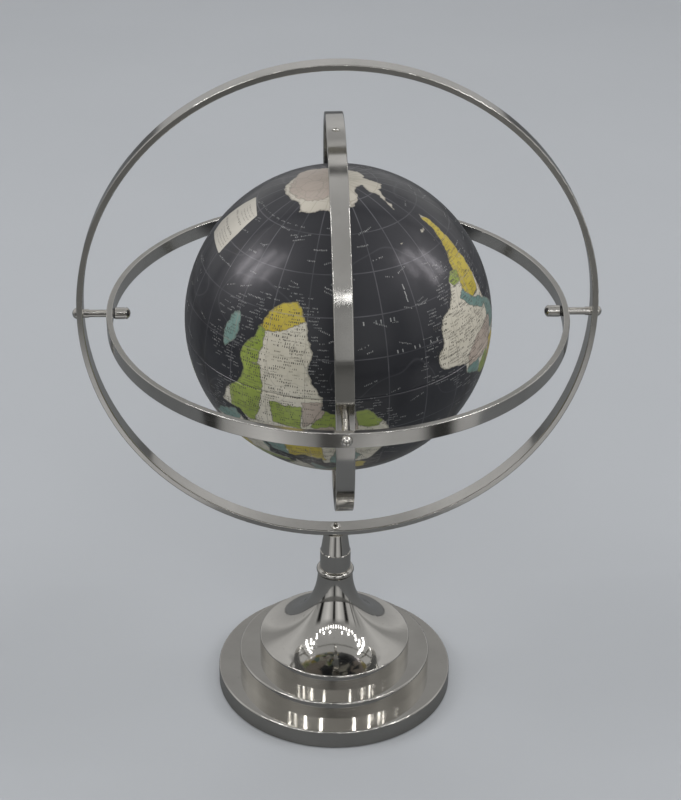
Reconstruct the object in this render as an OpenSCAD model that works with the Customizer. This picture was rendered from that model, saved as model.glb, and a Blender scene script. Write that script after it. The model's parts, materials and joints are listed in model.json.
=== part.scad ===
// Desktop globe in a gimbal of three flat-bar rings on a turned, nickel-plated stand.
// Millimetres, +Z up. Origin: centre of the felt pad's underside, on the table.
// The outer ring stands in the XZ plane and the front of the globe faces -Y.

/* [Base] */
// Radius of the lower base disc
base_r = 84.5; // [76:0.5:95]
// Height of the lower base disc
base_h = 13; // [12:0.5:18]
// Radius of the middle base disc
middle_r = 69; // [60:0.5:74]
// Height of the middle base disc
middle_h = 13.4; // [9:0.1:18]
// Radius of the bell column's rim
bell_r = 54.3; // [45:0.1:58]
// Height of the upright edge of the bell column's rim
bell_rim_h = 12.2; // [8:0.1:16]
// Wall thickness of the spun base shells
shell_t = 2.5; // [1.5:0.1:3]
// Rounding of the upper edges of the base discs
edge_round = 1.2; // [0.4:0.1:2]
// Thickness of the felt pad
felt_t = 1; // [0.5:0.5:2]
// Radius of the cast weight inside the lower base disc
weight_r = 62; // [30:1:72]

/* [Stem] */
// Height of the bell column's flare above its rim
flare_h = 52.9; // [40:0.1:65]
// Radius of the bell column at its top
stem_r = 12.5; // [11:0.1:16]
// Radius of the bead between the bell column and the neck
bead_r = 13.4; // [12:0.1:17]
// Height of the bead
bead_h = 4.5; // [3:0.1:6]
// Radius of the straight lower neck
lower_neck_r = 10.9; // [9:0.1:11.5]
// Height of the straight lower neck
lower_neck_h = 14; // [8:0.5:25]
// Radius of the tapered upper neck at its foot
upper_neck_r = 10.4; // [8.8:0.1:11]
// Radius of the tapered upper neck at its top
upper_neck_top_r = 8.2; // [7:0.1:8.7]
// Height of the tapered upper neck
upper_neck_h = 15.5; // [14:0.5:25]
// Radius of the threaded rod that ties the stand together
tie_rod_r = 4; // [3:0.5:5]

/* [Rings] */
// Outer radius of the fixed outer ring
outer_ring_r = 172; // [170:0.5:178]
// Bar width of the fixed outer ring
outer_ring_w = 13; // [10:0.1:14]
// Outer radius of the horizon ring
horizon_ring_r = 152.4; // [151:0.1:154]
// Bar width of the horizon ring
horizon_ring_w = 10.4; // [9:0.1:14]
// Outer radius of the meridian ring
meridian_ring_r = 131.5; // [130:0.1:133]
// Bar width of the meridian ring
meridian_ring_w = 12; // [9:0.1:14]
// Thickness of all three bars
bar_t = 4; // [2.5:0.1:5]
// Rounding of the bars' edges
bar_round = 0.7; // [0.3:0.1:1]
// Tilt of the horizon ring as it stands, front edge down
horizon_tilt = 4; // [-10:0.1:10]
// Lean of the meridian ring as it stands, positive to the right
meridian_lean = -1.4; // [-10:0.1:10]

/* [Pivots] */
// Radius of a pivot screw's shank
shank_r = 2; // [1.5:0.1:2.2]
// Radius of a pivot screw's domed head
head_r = 3.6; // [3:0.1:4.5]
// Height of a pivot screw's domed head
head_h = 3.3; // [2:0.1:4]
// Outer radius of the locking collars
collar_r = 2.9; // [2.6:0.1:4]
// Length of the locking collars
collar_len = 3.6; // [2:0.1:5]
// Outer radius of the spacer sleeves
sleeve_r = 2.5; // [2.3:0.1:2.5]
// Radius of the friction washers
washer_r = 3.5; // [3:0.1:4.5]
// Thickness of the friction washers
washer_t = 1; // [0.5:0.1:1.2]
// Radius of the cap nuts
cap_nut_r = 3.9; // [3.3:0.1:4.5]
// Length of the cap nuts
cap_nut_len = 10; // [8:0.1:11]
// Radial play of a ring on its pivot screw
pivot_play = 0.05; // [0.02:0.01:0.1]
// Gap between faces that turn against each other
face_gap = 0.3; // [0.1:0.1:0.5]

/* [Globe] */
// Radius of the globe
globe_r = 101.6; // [98:0.1:104]
// Wall thickness of the globe's shells
globe_t = 2; // [1.5:0.1:3]
// Distance of the globe's centre below the middle of the rings
globe_drop = 4; // [0:0.5:5]
// Radius of a pole pin's shank
pin_r = 1.5; // [1.2:0.1:1.8]
// Radius of a pole pin's head
pin_head_r = 2.5; // [2.2:0.1:3]
// Outer radius of a pole bush
bush_r = 3; // [2.6:0.1:3.5]
// Height of the band that joins the two hemispheres inside
band_h = 16; // [8:1:30]

/* [Hidden] */
$fn = 96;

// Heights of the stand's joints above the table
lower_disc_z = felt_t;
middle_disc_z = lower_disc_z + base_h;
bell_z = middle_disc_z + middle_h;
bell_rim_z = bell_z + bell_rim_h;
bead_z = bell_rim_z + flare_h;
lower_neck_z = bead_z + bead_h;
upper_neck_z = lower_neck_z + lower_neck_h;
neck_top_z = upper_neck_z + upper_neck_h;
gimbal_z = neck_top_z + outer_ring_r;

// Base weight, tie rod and its nut
felt_inset = 1.5;
weight_h = base_h - shell_t;
nut_pocket_r = 13;
nut_pocket_h = 7;
tie_washer_r = 12;
tie_washer_t = 1.6;
tie_nut_h = 5;
tie_nut_corner_r = tie_rod_r * 1.88;
tie_rod_bottom_z = lower_disc_z + 0.3;
tie_rod_top_z = upper_neck_z + 6.5;
rod_hole_r = tie_rod_r + 0.2;
neck_step = 0.5;

// The bell column's flare is one arc, upright at its top and through the rim's edge
flare_run = bell_r - stem_r;
flare_r = (flare_run * flare_run + flare_h * flare_h) / (2 * flare_run);
flare_centre = [stem_r + flare_r, bead_z];

// Screw through the outer ring into the upper neck
ring_screw_r = 2;
ring_screw_head_r = 3.8;
ring_screw_head_h = 2.4;
ring_screw_rim_h = 0.4;
ring_screw_reach = 7;
socket_r = 1.45;
socket_depth = 1.5;

// Radii of the rings' inner faces
outer_ring_in = outer_ring_r - bar_t;
horizon_ring_in = horizon_ring_r - bar_t;
meridian_ring_in = meridian_ring_r - bar_t;

// Details of the pivots
head_rim_h = 0.8;
nut_groove_w = 0.6;
nut_groove_depth = 0.5;
nut_rim_h = 1;
nut_body_len = cap_nut_len * 0.62;
nut_thread_len = 7.5;

// Poles
globe_in = globe_r - globe_t;
pin_head_h = 1.6;
pin_rim_h = 0.4;
pin_reach = 9;
flange_r = 5;
flange_t = 0.8;
bush_len = 7;
flange_z = globe_r - 0.15;
band_t = 1.6;
band_play = 0.05;
band_r = sqrt(globe_in * globe_in - band_h * band_h / 4) - band_play;
top_pole_d = flange_z - globe_drop;
bottom_pole_d = flange_z + globe_drop;

nickel = [0.78, 0.77, 0.74];
bright_nickel = [0.86, 0.85, 0.82];
steel = [0.62, 0.63, 0.65];

// Height at which a flat face of radius r just meets the inside of a ring of radius ring_r
function seat(ring_r, r) = sqrt(ring_r * ring_r - r * r);

// Frames of the two turning rings at rest
module at_gimbal() {
    translate([0, 0, gimbal_z]) children();
}

module at_horizon() {
    at_gimbal() rotate([horizon_tilt, 0, 0]) children();
}

module at_meridian() {
    at_horizon() rotate([0, meridian_lean, 0]) children();
}

module at_globe() {
    at_meridian() translate([0, 0, -globe_drop]) children();
}

// Turns a stack built along +Z to point outwards on one side
module toward_right() {
    rotate([0, 90, 0]) children();
}

module toward_left() {
    rotate([0, -90, 0]) children();
}

module toward_front() {
    rotate([90, 0, 0]) children();
}

module toward_back() {
    rotate([-90, 0, 0]) children();
}

// Shared shapes

// Half section of a flat bar with rounded edges, centred on z = 0
module bar_section(outer_r, width) {
    translate([outer_r - bar_t, -width / 2]) {
        translate([bar_round, 0]) square([bar_t - 2 * bar_round, width]);
        translate([0, bar_round]) square([bar_t, width - 2 * bar_round]);
        for (x = [bar_round, bar_t - bar_round], z = [bar_round, width - bar_round])
            translate([x, z]) circle(bar_round);
    }
}

module flat_ring(outer_r, width) {
    rotate_extrude($fn = 360) bar_section(outer_r, width);
}

// A tube along +Z
module tube(outer_r, inner_r, length) {
    difference() {
        cylinder(r = outer_r, h = length);
        translate([0, 0, -1]) cylinder(r = inner_r, h = length + 2);
    }
}

// Hole of radius r through a ring, from the middle outwards
module hole_at(distance, r) {
    translate([0, 0, distance - 2 * bar_t]) cylinder(r = r, h = 4 * bar_t);
}

// Half section of a domed head of radius r and height h, upright up to rim_h
module dome_section(r, rim_h, h) {
    dome_h = h - rim_h;
    ball_r = (r * r + dome_h * dome_h) / (2 * dome_h);
    intersection() {
        translate([0, h - ball_r]) circle(ball_r);
        square([r, h]);
    }
}

// Half section of a base disc's outside, with a rounded upper edge
module disc_section(r, h) {
    square([r, h - edge_round]);
    square([r - edge_round, h]);
    translate([r - edge_round, h - edge_round]) circle(edge_round);
}

// Spun shell, open below, with a hole for the tie rod
module spun_disc(r, h) {
    rotate_extrude($fn = 180) difference() {
        disc_section(r, h);
        translate([-1, -1]) square([r - shell_t + 1, h - shell_t + 1]);
        translate([-1, -1]) square([rod_hole_r + 1, h + 2]);
    }
}

// Domed screw: seat_d is where its head seats, tip_d where its shank ends
module pivot_screw(seat_d, tip_d) {
    color(bright_nickel) rotate_extrude() union() {
        translate([0, tip_d]) square([shank_r, seat_d - tip_d + head_rim_h]);
        translate([0, seat_d]) dome_section(head_r, head_rim_h, head_h);
    }
}

module locking_collar(ring_in) {
    color(bright_nickel) translate([0, 0, seat(ring_in, collar_r) - collar_len])
        tube(collar_r, shank_r, collar_len);
}

// Tube that keeps a turning ring away from the ring that carries it
module spacer_sleeve(ring_in, next_ring_r) {
    length = seat(ring_in, collar_r) - collar_len - next_ring_r - face_gap;
    color(nickel) translate([0, 0, next_ring_r + face_gap]) tube(sleeve_r, shank_r, length);
}

module friction_washer(ring_in) {
    color([0.12, 0.12, 0.13])
        translate([0, 0, seat(ring_in, washer_r) - face_gap - washer_t])
            tube(washer_r, shank_r, washer_t);
}

// Blind nut with a groove and a domed end, facing the middle
module cap_nut(ring_in) {
    face_d = seat(ring_in, washer_r) - face_gap - washer_t;
    groove_d = nut_body_len + nut_groove_w;
    color(bright_nickel) translate([0, 0, face_d]) mirror([0, 0, 1])
        rotate_extrude() difference() {
            union() {
                square([cap_nut_r, nut_body_len]);
                square([cap_nut_r - nut_groove_depth, groove_d + nut_rim_h / 2]);
                translate([0, groove_d])
                    dome_section(cap_nut_r, nut_rim_h, cap_nut_len - groove_d);
            }
            translate([-1, -1]) square([shank_r + 1, nut_thread_len + 1]);
        }
}

function cap_nut_tip(ring_in) =
    seat(ring_in, washer_r) - face_gap - washer_t - nut_thread_len;

// Stand

module felt_pad() {
    color([0.1, 0.22, 0.16]) cylinder(r = base_r - felt_inset, h = felt_t, $fn = 180);
}

module base_weight() {
    color([0.25, 0.25, 0.26]) translate([0, 0, lower_disc_z]) difference() {
        cylinder(r = weight_r, h = weight_h, $fn = 180);
        translate([0, 0, -1]) cylinder(r = nut_pocket_r, h = nut_pocket_h + 1);
        cylinder(r = rod_hole_r, h = weight_h + 1);
    }
}

module lower_disc() {
    color(nickel) translate([0, 0, lower_disc_z]) spun_disc(base_r, base_h);
}

module middle_disc() {
    color(nickel) translate([0, 0, middle_disc_z]) spun_disc(middle_r, middle_h);
}

// Outside of the bell column: rim, rounded rim edge and flare
module bell_outline() {
    round_r = flare_centre.x - bell_r + edge_round;
    round_c = [
        bell_r - edge_round,
        flare_centre.y - sqrt((flare_r + edge_round) ^ 2 - round_r ^ 2)
    ];
    inward = (flare_centre - round_c) / norm(flare_centre - round_c);
    difference() {
        translate([0, bell_z]) square([bell_r, bead_z - bell_z]);
        translate(flare_centre) circle(flare_r, $fn = 360);
        difference() {
            polygon([
                round_c, round_c + 3 * edge_round * inward,
                round_c + [3, 3] * edge_round, round_c + [3 * edge_round, 0]
            ]);
            translate(round_c) circle(edge_round);
        }
    }
}

module bell_column() {
    color(bright_nickel) rotate_extrude($fn = 180) difference() {
        bell_outline();
        difference() {
            translate([-1, bell_z - 1])
                square([bell_r - shell_t + 1, bead_z - bell_z - shell_t + 1]);
            translate(flare_centre) circle(flare_r + shell_t, $fn = 360);
        }
        translate([-1, bell_z - 1]) square([rod_hole_r + 1, bead_z]);
    }
}

module stem_bead() {
    color(bright_nickel) translate([0, 0, bead_z]) rotate_extrude() difference() {
        union() {
            square([bead_r - bead_h / 2, bead_h]);
            translate([bead_r - bead_h / 2, bead_h / 2]) circle(bead_h / 2);
        }
        translate([-1, -1]) square([rod_hole_r + 1, bead_h + 2]);
    }
}

module lower_neck() {
    color(nickel) translate([0, 0, lower_neck_z]) difference() {
        union() {
            cylinder(r = lower_neck_r, h = lower_neck_h - neck_step);
            translate([0, 0, lower_neck_h - neck_step])
                cylinder(r1 = lower_neck_r, r2 = upper_neck_r, h = neck_step);
        }
        translate([0, 0, -1]) cylinder(r = rod_hole_r, h = lower_neck_h + 2);
    }
}

module upper_neck() {
    color(nickel) difference() {
        translate([0, 0, upper_neck_z])
            cylinder(r1 = upper_neck_r, r2 = upper_neck_top_r, h = upper_neck_h);
        translate([0, 0, upper_neck_z - 1])
            cylinder(r = tie_rod_r, h = tie_rod_top_z - upper_neck_z + 1);
        translate([0, 0, neck_top_z - ring_screw_reach])
            cylinder(r = ring_screw_r, h = ring_screw_reach + 1);
    }
}

module tie_rod() {
    color(steel) translate([0, 0, tie_rod_bottom_z])
        cylinder(r = tie_rod_r, h = tie_rod_top_z - tie_rod_bottom_z);
}

module tie_washer() {
    color(steel) translate([0, 0, lower_disc_z + nut_pocket_h - tie_washer_t])
        tube(tie_washer_r, rod_hole_r, tie_washer_t);
}

module tie_nut() {
    color(steel) translate([0, 0, lower_disc_z + nut_pocket_h - tie_washer_t - tie_nut_h])
        difference() {
            cylinder(r = tie_nut_corner_r, h = tie_nut_h, $fn = 6);
            translate([0, 0, -1]) cylinder(r = tie_rod_r, h = tie_nut_h + 2);
        }
}

// Button-head screw in the bottom of the outer ring, with a hexagon socket
module ring_screw() {
    head_z = gimbal_z - seat(outer_ring_in, ring_screw_head_r);
    tip_z = neck_top_z - ring_screw_reach;
    color(bright_nickel) difference() {
        rotate_extrude() union() {
            translate([0, tip_z]) square([ring_screw_r, head_z - tip_z + ring_screw_rim_h]);
            translate([0, head_z])
                dome_section(ring_screw_head_r, ring_screw_rim_h, ring_screw_head_h);
        }
        translate([0, 0, head_z + ring_screw_head_h - socket_depth])
            cylinder(r = socket_r, h = socket_depth + 1, $fn = 6);
    }
}

module outer_ring() {
    color(nickel) at_gimbal() difference() {
        rotate([90, 0, 0]) flat_ring(outer_ring_r, outer_ring_w);
        toward_right() hole_at(outer_ring_r, shank_r);
        toward_left() hole_at(outer_ring_r, shank_r);
        rotate([180, 0, 0]) hole_at(outer_ring_r, ring_screw_r);
    }
}

// Horizon ring

module horizon_ring() {
    color(nickel) at_horizon() difference() {
        flat_ring(horizon_ring_r, horizon_ring_w);
        toward_right() hole_at(horizon_ring_r, shank_r + pivot_play);
        toward_left() hole_at(horizon_ring_r, shank_r + pivot_play);
        toward_front() hole_at(horizon_ring_r, shank_r);
        toward_back() hole_at(horizon_ring_r, shank_r);
    }
}

// Meridian ring and pole pins

module meridian_ring() {
    color(nickel) at_meridian() difference() {
        rotate([0, 90, 0]) flat_ring(meridian_ring_r, meridian_ring_w);
        toward_front() hole_at(meridian_ring_r, shank_r + pivot_play);
        toward_back() hole_at(meridian_ring_r, shank_r + pivot_play);
        hole_at(meridian_ring_r, pin_r);
        rotate([180, 0, 0]) hole_at(meridian_ring_r, pin_r);
    }
}

// Pin from the meridian ring into the globe's pole bush, whose flange sits at pole_d
module pole_pin(pole_d) {
    color(bright_nickel) rotate_extrude() union() {
        translate([0, pole_d - pin_reach])
            square([pin_r, meridian_ring_r - pole_d + pin_reach + pin_rim_h]);
        translate([0, meridian_ring_r]) dome_section(pin_head_r, pin_rim_h, pin_head_h);
    }
}

// Tube on the pole pin that holds the globe at its place between the poles
module pole_sleeve(pole_d) {
    foot_d = pole_d + flange_t + face_gap;
    color(nickel) translate([0, 0, foot_d])
        tube(sleeve_r, pin_r, seat(meridian_ring_in, sleeve_r) - foot_d);
}

// Globe

// One hemisphere's half section, with a hole for the pole bush and a flat under its flange
module hemisphere_section() {
    difference() {
        intersection() {
            circle(globe_r, $fn = 360);
            square(globe_r);
        }
        circle(globe_in, $fn = 360);
        translate([-1, globe_r / 2]) square([bush_r + 1, globe_r]);
        translate([-1, flange_z]) square([flange_r + 1, globe_r]);
    }
}

module southern_hemisphere() {
    color([0.16, 0.16, 0.19]) at_globe() rotate_extrude($fn = 180) hemisphere_section();
}

module northern_hemisphere() {
    color([0.16, 0.16, 0.19]) at_globe() mirror([0, 0, 1])
        rotate_extrude($fn = 180) hemisphere_section();
}

module equator_band() {
    color([0.6, 0.5, 0.36]) at_globe() translate([0, 0, -band_h / 2])
        tube(band_r, band_r - band_t, band_h, $fn = 180);
}

// Flanged bush in the globe's shell; the pole pin turns in it
module pole_bush() {
    color([0.72, 0.58, 0.32]) rotate_extrude() difference() {
        union() {
            translate([0, flange_z]) square([flange_r, flange_t]);
            translate([0, flange_z - bush_len]) square([bush_r, bush_len + flange_t / 2]);
        }
        translate([-1, flange_z - bush_len - 1])
            square([pin_r + pivot_play + 1, bush_len + flange_t + 2]);
    }
}

felt_pad();
base_weight();
lower_disc();
middle_disc();
bell_column();
stem_bead();
lower_neck();
upper_neck();
tie_rod();
tie_washer();
tie_nut();
ring_screw();
outer_ring();

at_gimbal() toward_left() pivot_screw(outer_ring_r, cap_nut_tip(horizon_ring_in));  // left_pivot_screw
at_gimbal() toward_left() locking_collar(outer_ring_in);  // left_locking_collar
at_gimbal() toward_left() spacer_sleeve(outer_ring_in, horizon_ring_r);  // left_spacer_sleeve
at_gimbal() toward_left() friction_washer(horizon_ring_in);  // left_friction_washer
at_gimbal() toward_left() cap_nut(horizon_ring_in);  // left_cap_nut

at_gimbal() toward_right() pivot_screw(outer_ring_r, cap_nut_tip(horizon_ring_in));  // right_pivot_screw
at_gimbal() toward_right() locking_collar(outer_ring_in);  // right_locking_collar
at_gimbal() toward_right() spacer_sleeve(outer_ring_in, horizon_ring_r);  // right_spacer_sleeve
at_gimbal() toward_right() friction_washer(horizon_ring_in);  // right_friction_washer
at_gimbal() toward_right() cap_nut(horizon_ring_in);  // right_cap_nut

horizon_ring();

at_horizon() toward_front() pivot_screw(horizon_ring_r, cap_nut_tip(meridian_ring_in));  // front_pivot_screw
at_horizon() toward_front() locking_collar(horizon_ring_in);  // front_locking_collar
at_horizon() toward_front() spacer_sleeve(horizon_ring_in, meridian_ring_r);  // front_spacer_sleeve
at_horizon() toward_front() friction_washer(meridian_ring_in);  // front_friction_washer
at_horizon() toward_front() cap_nut(meridian_ring_in);  // front_cap_nut

at_horizon() toward_back() pivot_screw(horizon_ring_r, cap_nut_tip(meridian_ring_in));  // back_pivot_screw
at_horizon() toward_back() locking_collar(horizon_ring_in);  // back_locking_collar
at_horizon() toward_back() spacer_sleeve(horizon_ring_in, meridian_ring_r);  // back_spacer_sleeve
at_horizon() toward_back() friction_washer(meridian_ring_in);  // back_friction_washer
at_horizon() toward_back() cap_nut(meridian_ring_in);  // back_cap_nut

meridian_ring();
at_meridian() pole_pin(top_pole_d);  // top_pole_pin
at_meridian() pole_sleeve(top_pole_d);  // top_pole_sleeve
at_meridian() rotate([180, 0, 0]) pole_pin(bottom_pole_d);  // bottom_pole_pin
at_meridian() rotate([180, 0, 0]) pole_sleeve(bottom_pole_d);  // bottom_pole_sleeve

southern_hemisphere();
northern_hemisphere();
equator_band();
at_globe() pole_bush();  // top_pole_bush
at_globe() rotate([180, 0, 0]) pole_bush();  // bottom_pole_bush
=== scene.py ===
"""Looks of the desktop globe: metal finishes, the printed globe, the studio and the camera."""
import json
import math
import random

import bpy
import numpy as np
from mathutils import Matrix, Vector, noise

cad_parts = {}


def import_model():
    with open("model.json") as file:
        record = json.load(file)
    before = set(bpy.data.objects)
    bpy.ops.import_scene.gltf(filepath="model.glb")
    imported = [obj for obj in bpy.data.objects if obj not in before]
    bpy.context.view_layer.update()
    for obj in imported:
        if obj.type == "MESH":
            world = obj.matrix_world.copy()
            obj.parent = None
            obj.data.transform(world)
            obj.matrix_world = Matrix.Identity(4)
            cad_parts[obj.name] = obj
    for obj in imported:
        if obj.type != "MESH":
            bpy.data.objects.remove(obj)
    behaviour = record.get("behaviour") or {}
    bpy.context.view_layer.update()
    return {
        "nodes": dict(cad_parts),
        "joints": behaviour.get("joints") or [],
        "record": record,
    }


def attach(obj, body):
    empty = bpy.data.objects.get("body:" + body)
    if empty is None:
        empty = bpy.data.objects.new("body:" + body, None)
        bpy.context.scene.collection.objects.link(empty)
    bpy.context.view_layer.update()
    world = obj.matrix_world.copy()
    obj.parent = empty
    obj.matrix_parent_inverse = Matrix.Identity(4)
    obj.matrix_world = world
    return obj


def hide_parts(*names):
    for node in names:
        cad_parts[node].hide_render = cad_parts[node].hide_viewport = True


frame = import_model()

MM = 0.001
nodes = frame["nodes"]
joints = {j["name"]: j for j in frame["joints"]}

# ---------------------------------------------------------------- the globe's frame and size

GIMBAL = Vector(joints["horizon_tilt"]["pos_m"])
MERIDIAN_AXIS = Vector(joints["meridian_turn"]["axis"]).normalized()
POLE_AXIS = Vector(joints["globe_spin"]["axis"]).normalized()


def placed(x_axis, y_axis, z_axis, origin):
    """Matrix of a local frame given by its three axes and its origin."""
    matrix = Matrix((x_axis, y_axis, z_axis)).transposed().to_4x4()
    matrix.translation = origin
    return matrix


def local_box(node, matrix):
    """Lowest and highest corner of a CAD node in a local frame."""
    co = np.array([v.co for v in nodes[node].data.vertices])
    inverse = np.array(matrix.inverted())
    co = co @ inverse[:3, :3].T + inverse[:3, 3]
    return Vector(co.min(0)), Vector(co.max(0))


MERIDIAN_FRAME = placed(MERIDIAN_AXIS.cross(POLE_AXIS), MERIDIAN_AXIS, POLE_AXIS, GIMBAL)

low, high = local_box("southern_hemisphere", MERIDIAN_FRAME)
GLOBE_R = high.x
GLOBE_CENTRE = MERIDIAN_FRAME @ Vector((0, 0, low.z))
GLOBE_FRAME = placed(MERIDIAN_AXIS.cross(POLE_AXIS), MERIDIAN_AXIS, POLE_AXIS, GLOBE_CENTRE)

# ---------------------------------------------------------------- node helpers


class Nodes:
    """Short ways to add nodes to one node tree."""

    def __init__(self, tree):
        self.tree = tree

    def node(self, kind, settings=None, **inputs):
        """New node with some settings and inputs; an underscore stands for a space in an input's name."""
        made = self.tree.nodes.new("ShaderNode" + kind)
        for key, value in (settings or {}).items():
            setattr(made, key, value)
        for key, value in inputs.items():
            self.feed(made.inputs[key.replace("_", " ")], value)
        return made

    def feed(self, socket, value):
        """Links an output to an input, or sets the input's own value."""
        if isinstance(value, bpy.types.NodeSocket):
            self.tree.links.new(value, socket)
        else:
            socket.default_value = value

    def math(self, operation, *values):
        """Result of one math node."""
        made = self.node("Math", {"operation": operation})
        for socket, value in zip(made.inputs, values):
            self.feed(socket, value)
        return made.outputs[0]

    def ramp(self, factor, stops):
        """Colour ramp whose stops are positions with a grey level or a colour."""
        made = self.node("ValToRGB", Fac=factor)
        elements = made.color_ramp.elements
        while len(elements) < len(stops):
            elements.new(0.5)
        for element, (position, value) in zip(elements, stops):
            element.position = position
            level = value if isinstance(value, tuple) else (value, value, value)
            element.color = (*level, 1)
        return made.outputs[0]

    def mix(self, factor, first, second):
        """Mix of two colours, each an output or a fixed colour."""
        made = self.node("Mix", {"data_type": "RGBA"})
        self.feed(made.inputs[0], factor)
        self.feed(made.inputs[6], first if isinstance(first, bpy.types.NodeSocket) else (*first, 1))
        self.feed(made.inputs[7], second if isinstance(second, bpy.types.NodeSocket) else (*second, 1))
        return made.outputs[2]

    def offset(self, first, second):
        """Sum of two vectors."""
        made = self.node("VectorMath", {"operation": "ADD"})
        self.feed(made.inputs[0], first)
        self.feed(made.inputs[1], second)
        return made.outputs[0]


class Material(Nodes):
    """Builds one procedural material around a Principled shader."""

    def __init__(self, name, **inputs):
        self.data = bpy.data.materials.new(name)
        self.data.use_nodes = True
        super().__init__(self.data.node_tree)
        self.shader = self.tree.nodes["Principled BSDF"]
        for key, value in inputs.items():
            self.shader.inputs[key.replace("_", " ")].default_value = value

    def noise(self, scale, detail=4.0, stretch=None, roughness=0.55):
        """Fractal noise in the piece's own coordinates."""
        coordinates = self.node("TexCoord").outputs["Object"]
        if stretch:
            coordinates = self.node("Mapping", Vector=coordinates, Scale=stretch).outputs[0]
        return self.node(
            "TexNoise", Vector=coordinates, Scale=scale, Detail=detail, Roughness=roughness
        ).outputs["Fac"]

    def bump(self, height, strength, distance, normal=None):
        """Fine relief, on top of another normal if one is given."""
        made = self.node("Bump", Strength=strength, Distance=distance, Height=height)
        if normal:
            self.feed(made.inputs["Normal"], normal)
        self.feed(self.shader.inputs["Normal"], made.outputs[0])

    def leaning(self, lean):
        """Normal of the surface, with upright faces leaning back by a slope."""
        normal = self.node("NewGeometry").outputs["Normal"]
        height = self.math("ABSOLUTE", self.node("SeparateXYZ", Vector=normal).outputs["Z"])
        lift = self.math("MULTIPLY", self.ramp(height, [(0.05, 1.0), (0.20, 0.0)]), lean)
        lifted = self.offset(normal, self.node("CombineXYZ", Z=lift).outputs[0])
        return self.node("VectorMath", {"operation": "NORMALIZE"}, Vector=lifted).outputs[0]

    def set(self, socket, value):
        """Links or sets one of the shader's inputs."""
        self.feed(self.shader.inputs[socket], value)


def new_piece(name, verts, faces):
    """Object with a new mesh, in the scene."""
    mesh = bpy.data.meshes.new(name)
    mesh.from_pydata(verts, [], faces)
    piece = bpy.data.objects.new(name, mesh)
    bpy.context.scene.collection.objects.link(piece)
    return piece


def paint(piece, material):
    """Gives a piece one material on every face."""
    piece.data.materials.clear()
    piece.data.materials.append(material.data)
    for polygon in piece.data.polygons:
        polygon.material_index = 0


# ---------------------------------------------------------------- metals and small materials


def nickel(name, tint, dull, polish, smear, wobble, lean=0.0):
    """Polished nickel plate in two tones, tint and dull.

    Polish is its roughness, smear what smudges add and wobble its waviness. Lean is how far upright
    faces lean back in their shading alone, as a slope: with it the base's ledges mirror the lamps.
    """
    material = Material(name, Metallic=1.0)
    cloud = material.ramp(material.noise(26.0, 5.0), [(0.35, 0.0), (0.72, 1.0)])
    speckle = material.ramp(material.noise(420.0, 3.0, roughness=0.7), [(0.66, 0.0), (0.74, 0.5)])
    plate = material.mix(cloud, tint, dull)
    plate = material.mix(speckle, plate, tuple(0.55 * c for c in tint))
    material.set("Base Color", plate)
    haze = material.noise(80.0, 6.0, roughness=0.7)
    rubbed = material.noise(60.0, 6.0, stretch=(1.0, 1.0, 14.0), roughness=0.75)
    smudge = material.math("MULTIPLY", haze, rubbed)
    material.set("Roughness", material.ramp(smudge, [(0.12, polish), (0.42, polish + smear)]))
    wave = material.math("MULTIPLY", material.noise(18.0, 2.0), wobble)
    pits = material.math("MULTIPLY", material.noise(700.0, 2.0), 0.004)
    normal = material.leaning(lean) if lean else None
    material.bump(material.math("ADD", wave, pits), 0.35, 0.001, normal)
    return material


RING_NICKEL = nickel("ring_nickel", (0.64, 0.625, 0.595), (0.54, 0.53, 0.50), 0.06, 0.12, 0.40)
STAND_NICKEL = nickel("stand_nickel", (0.60, 0.585, 0.55), (0.52, 0.505, 0.475), 0.025, 0.10, 0.40, 0.055)
HARDWARE_NICKEL = nickel("hardware_nickel", (0.70, 0.68, 0.64), (0.55, 0.54, 0.51), 0.07, 0.16, 0.25)


def plain_metal(name, colour, roughness, grain):
    """Unpolished metal with a fine grain."""
    material = Material(name, Metallic=1.0)
    spots = material.noise(grain, 6.0)
    darker = tuple(c * 0.7 for c in colour)
    material.set("Base Color", material.mix(spots, colour, darker))
    material.set("Roughness", material.ramp(spots, [(0.3, roughness), (0.7, roughness + 0.2)]))
    material.bump(spots, 0.4, 0.0003)
    return material


def rough_stuff(name, colour, grain, distance, sheen=0.0):
    """Matte material with a fibrous surface: felt, fibre washer or board."""
    material = Material(name, Roughness=0.95, Sheen_Weight=sheen)
    fibres = material.noise(grain, 8.0, roughness=0.7)
    darker = tuple(c * 0.55 for c in colour)
    material.set("Base Color", material.mix(material.ramp(fibres, [(0.35, 0.0), (0.7, 1.0)]), colour, darker))
    material.bump(fibres, 0.8, distance)
    return material


STEEL = plain_metal("plain_steel", (0.50, 0.51, 0.53), 0.35, 400.0)
IRON = plain_metal("weight_iron", (0.12, 0.12, 0.125), 0.6, 150.0)
BRASS = plain_metal("bush_brass", (0.72, 0.54, 0.26), 0.22, 500.0)
FELT = rough_stuff("felt", (0.03, 0.09, 0.06), 900.0, 0.0005, sheen=0.4)
FIBRE = rough_stuff("washer_fibre", (0.02, 0.02, 0.022), 1200.0, 0.0002)
BOARD = rough_stuff("band_board", (0.42, 0.33, 0.21), 300.0, 0.0003)

MATERIAL_OF_SLOT = {
    "ring_nickel": RING_NICKEL,
    "stand_nickel": STAND_NICKEL,
    "hardware_nickel": HARDWARE_NICKEL,
    "plain_steel": STEEL,
    "weight_iron": IRON,
    "bush_brass": BRASS,
    "felt": FELT,
    "washer_fibre": FIBRE,
    "band_board": BOARD,
}

for row in frame["record"]["subparts"]:
    if row["material_slot"] in MATERIAL_OF_SLOT:
        paint(nodes[row["node"]], MATERIAL_OF_SLOT[row["material_slot"]])

# ---------------------------------------------------------------- the map

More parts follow.
